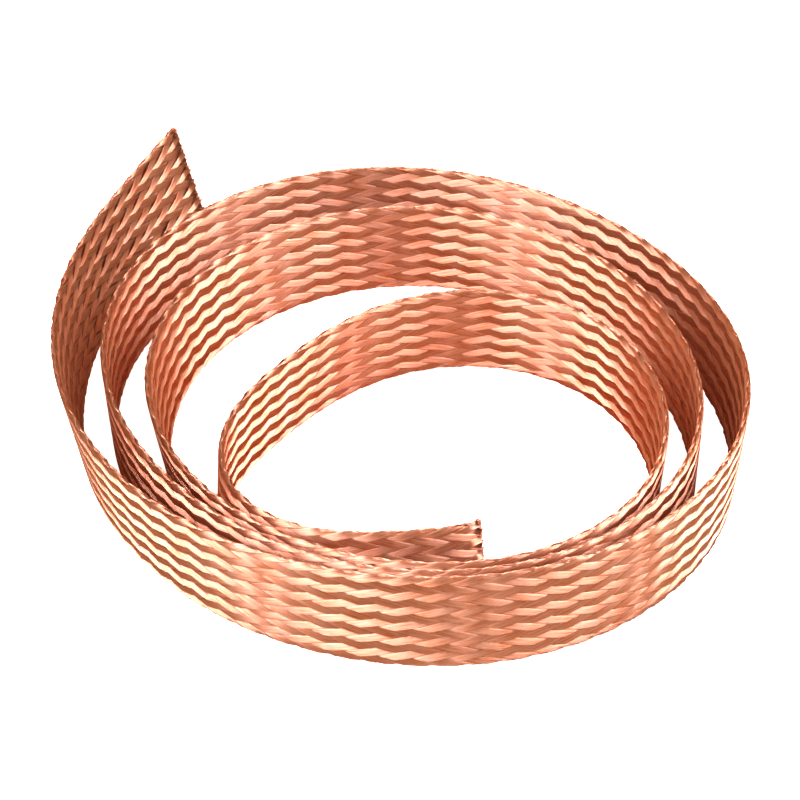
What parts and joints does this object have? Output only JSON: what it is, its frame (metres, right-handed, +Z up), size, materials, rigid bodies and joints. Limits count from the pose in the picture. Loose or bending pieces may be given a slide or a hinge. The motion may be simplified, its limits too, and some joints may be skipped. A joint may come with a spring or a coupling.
{
  "type": "flexible busbar braid",
  "caption": "Flat strap of plaited bare copper wire, loosely rolled on its edge, with a square cut inner end and a flared outer end.",
  "frame": {"origin": "middle of the roll in plan, on the surface that it stands on", "axes": "+Z up along the strap's width, -Y towards the front where the turns lie close together, +X right; the flared outer end points to -X and +Y"},
  "size_m": [0.1324, 0.1434, 0.0207],
  "materials": {
    "bare_copper": "bare plaited copper wire, satin, reddish between the turns"
  },
  "bodies": {
    "root": {"braid_strap": "bare_copper"}
  },
  "joints": []
}
